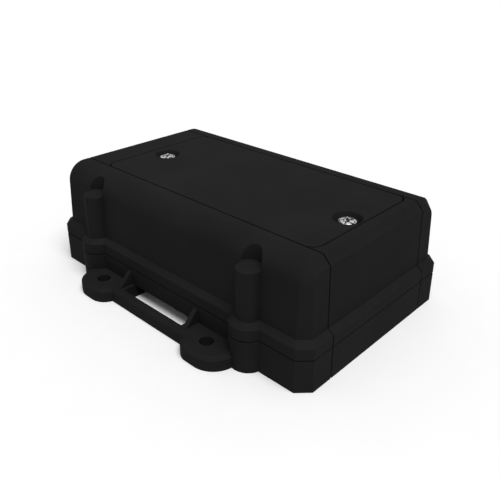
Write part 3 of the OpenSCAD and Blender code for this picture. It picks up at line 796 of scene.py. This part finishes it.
gold = plated("gold_plate", (0.78, 0.56, 0.24), gloss=(0.18, 0.3), stain=0.2)
dress("battery_pins", gold)
pins = solids_of("battery_pins")
housing_wall = 0.9
housing_tall = 1.7
bm = bmesh.new()
for first, second in ((pins[0], pins[1]), (pins[2], pins[3])):
    block(bm, (first[0].x - housing_wall, first[0].y - housing_wall, foot_z),
          (second[1].x + housing_wall, second[1].y + housing_wall, board_top + housing_tall),
          soft=0.2, steps=2)
housing = mesh_piece("pin_housings", bm, epoxy("pin_nylon", (0.014, 0.014, 0.015), 0.5))
attach(housing, "base")


steel = plated("sim_steel", (0.60, 0.60, 0.59), across=(1.0, 0.06, 1.0), gloss=(0.25, 0.4))
dress("sim_holder", steel)
first_foot = 1.6
foot_pitch = 3.3
foot_wide = 1.0
foot_out = 0.9
tucked = 0.05          # how far feet and pins reach in under the wall they come from
(low, high), = solids_of("sim_holder")
bm = bmesh.new()
for k in range(4):
    y = low.y + first_foot + k * foot_pitch
    for x1, x2 in both_sides(low.x, high.x, foot_out, tucked):
        block(bm, (x1, y, foot_z), (x2, y + foot_wide, board_top + 0.22), soft=0.07, steps=2)
feet = mesh_piece("sim_feet", bm, steel)
attach(feet, "base")

card_white, tree, shader = finish_of("card_white")
skin = placed(tree, grain, Pits_Per_Metre=5200.0)
touched = placed(tree, marks, Patches_Per_Metre=140.0)
wire(tree, shader, Base_Color=tint(tree, touched["Mask"], (0.74, 0.74, 0.75), (0.62, 0.62, 0.61)))
wire(tree, shader, Roughness=ramp(tree, skin["Shade"], 0.0, 1.0, 0.36, 0.5))
raise_skin(tree, shader, skin["Height"], 0.000006, 0.4)
dress("sim_card", card_white)

# the switch has three pins on each side, and a lug at each end
dress("switch_body", steel)
dress("switch_knob", moulded("knob_nylon", (0.013, 0.013, 0.014), worn_black, gloss=(0.5, 0.62),
                             pits=5200.0, depth=0.00001, radius=0.0001, shine=0.3))
pin_pitch = 2.5
pin_half = 0.3
pin_out = 1.1
lug_inset = 1.4
lug_out = 0.7
(low, high), = solids_of("switch_body")
bm = bmesh.new()
for k in (-1, 0, 1):
    y = (low.y + high.y) / 2 + k * pin_pitch
    for x1, x2 in both_sides(low.x, high.x, pin_out, tucked):
        block(bm, (x1, y - pin_half, foot_z), (x2, y + pin_half, board_top + 0.2), soft=0.06, steps=2)
for y1, y2 in both_sides(low.y, high.y, lug_out, tucked):
    block(bm, (low.x + lug_inset, y1, foot_z), (high.x - lug_inset, y2, board_top + 1.2), soft=0.12, steps=2)
feet = mesh_piece("switch_feet", bm, leg_tin)
attach(feet, "base")

lens, tree, shader = finish_of("lamp_resin")
cloud = noise(tree, place_in(tree), 1600.0, Detail=2.0)
wire(tree, shader, Base_Color=tint(tree, cloud, (0.70, 0.76, 0.60), (0.86, 0.86, 0.72)))
wire(tree, shader, Roughness=ramp(tree, cloud, 0.3, 0.7, 0.12, 0.25))
shader.inputs["Coat Weight"].default_value = 0.4
dress("status_leds", lens)
end_out, end_under, end_proud = 0.35, 0.2, 0.03
bm = bmesh.new()
for low, high in solids_of("status_leds"):
    for x1, x2 in both_sides(low.x, high.x, end_out, end_under):
        block(bm, (x1, low.y - end_proud, foot_z), (x2, high.y + end_proud, board_top + 0.4), soft=0.05,
              steps=1)
ends = mesh_piece("lamp_ends", bm, gold)
attach(ends, "base")


# ---- antenna plates and board screws ----------------------------------------------------
# Stamped bronze plates soldered upright on the board, and zinc-plated pan-head screws that
# hold the board down on its posts.

bronze = plated("antenna_bronze", (0.70, 0.47, 0.24), across=(1.0, 0.05, 1.0), gloss=(0.26, 0.4), stain=0.5)
dress("antenna_left", bronze)
dress("antenna_right", bronze)


def turning_marks(tree, shader, gloss):
    """Fine turning marks and slightly rounded edges on a turned screw or insert."""
    close = noise(tree, place_in(tree), 5200.0, Detail=4.0, Roughness=0.7)
    rim = placed(tree, edge)
    wire(tree, shader, Roughness=ramp(tree, close, 0.25, 0.75, gloss[0], gloss[1]))
    raise_skin(tree, shader, close, 0.000006, 0.7, Normal=rim["Normal"])


def turned_metal(name, colour, gloss):
    """Bright turned metal, its tone drifting slowly."""
    mat, tree, shader = finish_of(name)
    turning_marks(tree, shader, gloss)
    slow = noise(tree, place_in(tree), 240.0, Detail=3.0)
    wire(tree, shader, Base_Color=tint(tree, slow, shade(colour, 0.86), colour), Metallic=1.0)
    return mat


dress("board_screws", turned_metal("zinc_plate", (0.58, 0.59, 0.61), (0.25, 0.4)))


# ---- case screws ------------------------------------------------------------------------
# Stainless machine screws that come up through the lower shell into brass inserts in the
# upper one, with rolled threads.

thread_pitch = 0.7
thread_root = 1.9


def thread(bm, x, y, low, high, crest):
    """A rolled screw thread round an upright axis: a pointed ridge swept up a helix."""
    turns = (high - low) / thread_pitch - 1.0
    shape = [(thread_root, 0.0), (crest, thread_pitch / 2), (thread_root, thread_pitch)]
    face = bm.faces.new([bm.verts.new((x + r, y, low + z)) for r, z in shape])
    steps = int(turns * 20)
    bmesh.ops.spin(bm, geom=[face], cent=(x, y, 0.0), axis=(0.0, 0.0, 1.0), angle=math.tau * turns,
                   steps=steps, dvec=(0.0, 0.0, thread_pitch * turns / steps))


stainless = turned_metal("case_stainless", (0.62, 0.62, 0.61), (0.22, 0.36))
dress("case_screws", stainless)
plain_shank = 6.0
plain_tip = 0.8
bm = bmesh.new()
for low, high in solids_of("case_screws"):
    thread(bm, *middle_of(low, high), low.z + plain_shank, high.z - plain_tip, crest=2.12)
threads = mesh_piece("case_screw_threads", bm, stainless)
attach(threads, "base")


# ---- upper shell ------------------------------------------------------------------------
# The same black nylon from a second mould. Six knurled brass inserts are pressed into its
# columns and bosses while hot, four for the case screws and two for the panel screws.

dress("cover_shell", moulded("cover_nylon", black, worn_black))
brass = turned_metal("insert_brass", (0.74, 0.52, 0.24), (0.22, 0.36))
dress("case_inserts", brass)
dress("panel_inserts", brass)


# ---- battery pack -----------------------------------------------------------------------
# Three cells in green shrink sleeve lie side by side in a blue moulded tray, joined by spot
# welded nickel strips and held down by two bands of amber tape.

dress("battery_tray", moulded("tray_abs", (0.035, 0.085, 0.190), (0.10, 0.17, 0.30), gloss=(0.42, 0.55),
                              pits=2200.0, shine=0.35, radius=0.0002))

# the sleeve is drawn and rippled near its ends, and the end faces are bare metal
ripple_from, ripple_to = 0.0215, 0.0238
button_y = -0.02382
mat, tree, shader = finish_of("cell_sleeve")
place = place_in(tree)
way = put(tree, "ShaderNodeSeparateXYZ", Vector=place).outputs
sag = noise(tree, place, 130.0, Detail=3.0, Distortion=0.5)
touched = placed(tree, marks, Patches_Per_Metre=60.0)
near_end = ramp(tree, maths(tree, "ABSOLUTE", way["Y"]), ripple_from, ripple_to)
ripple = maths(tree, "MULTIPLY", near_end, noise(tree, place, 700.0, Detail=2.0))
facing = put(tree, "ShaderNodeTexCoord").outputs["Normal"]
along = put(tree, "ShaderNodeSeparateXYZ", Vector=facing).outputs["Y"]
flat_end = maths(tree, "GREATER_THAN", maths(tree, "ABSOLUTE", along), 0.8)
end_face = maths(tree, "MAXIMUM", flat_end, maths(tree, "LESS_THAN", way["Y"], button_y))
sleeve = tint(tree, sag, (0.018, 0.17, 0.085), (0.026, 0.23, 0.12))
wire(tree, shader, Base_Color=tint(tree, end_face, sleeve, (0.62, 0.62, 0.60)), Metallic=end_face)
wire(tree, shader, Roughness=ramp(tree, touched["Mask"], 0.0, 1.0, 0.24, 0.4))
waves = maths(tree, "ADD", sag, maths(tree, "MULTIPLY", ripple, 0.6))
height = maths(tree, "MULTIPLY", waves, ramp(tree, end_face, 0.0, 1.0, 1.0, 0.05))
raise_skin(tree, shader, height, 0.0002, 0.35)
dress("battery_cells", mat)

nickel = plated("nickel_strip", (0.66, 0.65, 0.62), across=(0.06, 1.0, 1.0), gloss=(0.22, 0.34))
dress("battery_contacts", nickel)

# pairs of spot welds on the strips
cells = solids_of("battery_cells")
weld_step = 1.1
bm = bmesh.new()
for low, high in solids_of("battery_contacts"):
    y = low.y + 0.01 if low.y < 0 else high.y - 0.01
    for cell in cells:
        for shift in (-weld_step, weld_step):
            dimple(bm, (middle_of(*cell)[0] + shift, y, (low.z + high.z) / 2), (0, 1, 0), 0.28)
welds = mesh_piece("strip_welds", bm, nickel)
attach(welds, "battery")

# contact plates under the tray, over the spring pins
tray_base = solids_of("battery_tray")[0][0].z
half_x, half_y, plate_thick = 1.7, 2.0, 0.22
bm = bmesh.new()
for low, high in pins:
    x, y = middle_of(low, high)
    block(bm, (x - half_x, y - half_y, tray_base - plate_thick), (x + half_x, y + half_y, tray_base + sunk),
          soft=0.06, steps=2)
plates = mesh_piece("tray_plates", bm, gold)
attach(plates, "battery")

# shrunk ends of the sleeves: a rolled lip round each end, the front one behind the button
button_tall = 1.2
lip_inset = 0.5
lip_green, tree, shader = finish_of("sleeve_lip")
crimp = noise(tree, place_in(tree), 1100.0, Detail=3.0)
wire(tree, shader, Base_Color=tint(tree, crimp, (0.014, 0.13, 0.065), (0.022, 0.20, 0.10)))
wire(tree, shader, Roughness=ramp(tree, crimp, 0.3, 0.7, 0.3, 0.45))
raise_skin(tree, shader, crimp, 0.0001, 0.4)
bm = bmesh.new()
for low, high in cells:
    x, z = (low.x + high.x) / 2, (low.z + high.z) / 2
    reach = (high.x - low.x) / 2 - lip_inset
    for y in (low.y + button_tall, high.y):
        made = bmesh.ops.create_circle(bm, segments=10, radius=0.2)["verts"]
        bmesh.ops.translate(bm, vec=(x + reach, y, z), verts=made)
        edges = list({line for corner in made for line in corner.link_edges})
        bmesh.ops.spin(bm, geom=made + edges, cent=(x, y, z), axis=(0.0, 1.0, 0.0), angle=math.tau,
                       steps=56, use_merge=True)
lips = mesh_piece("sleeve_lips", bm, lip_green)
attach(lips, "battery")

# white fibre washers round the positive buttons
washer_white, tree, shader = finish_of("washer_fibre")
fibres = noise(tree, place_in(tree), 1300.0, Detail=6.0, Distortion=0.8)
wire(tree, shader, Base_Color=tint(tree, fibres, (0.56, 0.56, 0.53), (0.80, 0.80, 0.76)))
wire(tree, shader, Roughness=ramp(tree, fibres, 0.3, 0.7, 0.7, 0.88))
raise_skin(tree, shader, fibres, 0.00003, 0.5)
washer_hole = 3.25
washer_radius = 9.4
washer_thick = 0.22
on_end = Matrix.Rotation(math.radians(90.0), 3, "X")
bm = bmesh.new()
for low, high in cells:
    centre = Vector(((low.x + high.x) / 2, low.y + button_tall + sunk, (low.z + high.z) / 2))
    before = set(bm.verts)
    tube(bm, centre, washer_hole, washer_radius, washer_thick, steps=48)
    bmesh.ops.rotate(bm, cent=centre, matrix=on_end, verts=list(set(bm.verts) - before))
washers = mesh_piece("cell_washers", bm, washer_white)
attach(washers, "battery")

# amber tape: up over the first cell, flat across the tops, and down over the last
amber, tree, shader = finish_of("amber_tape")
streaks = placed(tree, rolling, Lines_Per_Metre=900.0, X=0.1, Y=1.0, Z=0.1)
wire(tree, shader, Base_Color=tint(tree, streaks["Shade"], (0.46, 0.21, 0.030), (0.60, 0.30, 0.05)))
wire(tree, shader, Roughness=ramp(tree, streaks["Shade"], 0.0, 1.0, 0.16, 0.28))
raise_skin(tree, shader, streaks["Height"], 0.00002, 0.5)
band_lift = 0.03       # the film bridges the ripples of the sleeve
band_thick = 0.07
lean = math.radians(72.0)
first_low, first_high = cells[0]
first_x, last_x = middle_of(*cells[0])[0], middle_of(*cells[-1])[0]
z = (first_low.z + first_high.z) / 2
radius = (first_high.x - first_low.x) / 2 + band_lift
bm = bmesh.new()
for y1, y2 in ((-15.0, -5.0), (5.0, 15.0)):
    low_edge = (first_x - radius * math.sin(lean), z + radius * math.cos(lean))
    pair = [bm.verts.new((low_edge[0], y, low_edge[1])) for y in (y1, y2)]
    over = bmesh.ops.spin(bm, geom=pair + [bm.edges.new(pair)], cent=(first_x, 0.0, z),
                          axis=(0.0, 1.0, 0.0), angle=lean, steps=14)
    crown = [part for part in over["geom_last"] if isinstance(part, bmesh.types.BMEdge)]
    grown = bmesh.ops.extrude_edge_only(bm, edges=crown)["geom"]
    far = corners_in(grown)
    bmesh.ops.translate(bm, vec=(last_x - first_x, 0.0, 0.0), verts=far)
    line = [part for part in grown if isinstance(part, bmesh.types.BMEdge)
            and all(corner in far for corner in part.verts)]
    bmesh.ops.spin(bm, geom=far + line, cent=(last_x, 0.0, z), axis=(0.0, 1.0, 0.0), angle=lean, steps=14)
bmesh.ops.recalc_face_normals(bm, faces=bm.faces)
grown = bmesh.ops.extrude_face_region(bm, geom=list(bm.faces))["geom"]
for corner in corners_in(grown):
    axis_x = min(max(corner.co.x, first_x), last_x)
    corner.co += Vector((corner.co.x - axis_x, 0.0, corner.co.z - z)).normalized() * band_thick
tape = mesh_piece("amber_bands", bm, amber)
attach(tape, "battery")


# ---- access panel, its gasket and pad ---------------------------------------------------
# A third moulding in the same nylon, a shade finer on the face. A silicone ring is pressed
# into its underside, and a pad of closed-cell foam keeps the battery from rattling.

dress("top_panel", moulded("panel_nylon", (0.0095, 0.0095, 0.0097), worn_black, pits=3000.0))
dress("panel_gasket", rubber("panel_silicone", silicone))

foam, tree, shader = finish_of("closed_cell_foam")
place = place_in(tree)
bubbles = put(tree, "ShaderNodeTexVoronoi", Vector=place, Scale=1500.0).outputs["Distance"]
coarse = noise(tree, place, 400.0, Detail=3.0)
wire(tree, shader, Base_Color=tint(tree, bubbles, (0.045, 0.046, 0.050), (0.115, 0.117, 0.122)))
wire(tree, shader, Roughness=ramp(tree, coarse, 0.3, 0.7, 0.82, 0.95))
raise_skin(tree, shader, bubbles, 0.0001, 0.7)
dress("battery_pad", foam)


# ---- panel screws -----------------------------------------------------------------------
# Two stainless pan-head screws, each turning in the panel. Their heads are painted in dark and bright
# patches that stand in for speckled reflections, and the cross recess is painted dark as shade.

recess_radius = 2.5
recess_deep = 1.1
recess_lip = 0.25


def speckle_and_recess_shade_steel(name, x, y, head_top):
    """Steel painted in dark and bright patches for speckled reflections, with painted shade in the recess
    round the screw's own axis.
    """
    mat, tree, shader = finish_of(name)
    turning_marks(tree, shader, (0.2, 0.34))
    place = place_in(tree)
    way = put(tree, "ShaderNodeSeparateXYZ", Vector=place).outputs
    flat = put(tree, "ShaderNodeCombineXYZ", X=way["X"], Y=way["Y"], Z=0.0).outputs[0]
    reach = put(tree, "ShaderNodeVectorMath", {"operation": "DISTANCE"})
    feed(tree, reach.inputs[0], flat)
    feed(tree, reach.inputs[1], (x * MM, y * MM, 0.0))
    # the cross recess is painted dark as shade, fading out towards its lip
    inside = maths(tree, "LESS_THAN", reach.outputs["Value"], recess_radius * MM)
    deep = ramp(tree, way["Z"], (head_top - recess_deep) * MM, (head_top - recess_lip) * MM, 1.0, 0.0)
    painted_recess_shade = maths(tree, "MULTIPLY", inside, deep)
    # dark and bright patches painted to stand in for the speckled reflections on the heads
    speckle_noise = noise(tree, place, 720.0, Detail=2.5, Roughness=0.6, Distortion=0.3)
    bright_speckle = maths(tree, "MULTIPLY", ramp(tree, speckle_noise, 0.47, 0.51), maths(tree, "SUBTRACT", 1.0, painted_recess_shade))
    wire(tree, shader, Base_Color=tint(tree, bright_speckle, (0.016, 0.016, 0.017), (0.95, 0.95, 0.94)))
    wire(tree, shader, Metallic=ramp(tree, bright_speckle, 0.0, 1.0, 0.2, 1.0))
    return mat


thread_from, thread_to = 1.0, 8.2
for side in ("left", "right"):
    (low, high), = solids_of("panel_screw_" + side)
    x, y = middle_of(low, high)
    speckle_shaded_steel = speckle_and_recess_shade_steel("stainless_" + side, x, y, high.z)
    dress("panel_screw_" + side, speckle_shaded_steel)
    bm = bmesh.new()
    thread(bm, x, y, low.z + thread_from, low.z + thread_to, crest=2.1)
    ridge = mesh_piece("panel_thread_" + side, bm, speckle_shaded_steel)
    attach(ridge, "screw_" + side)

low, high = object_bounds()
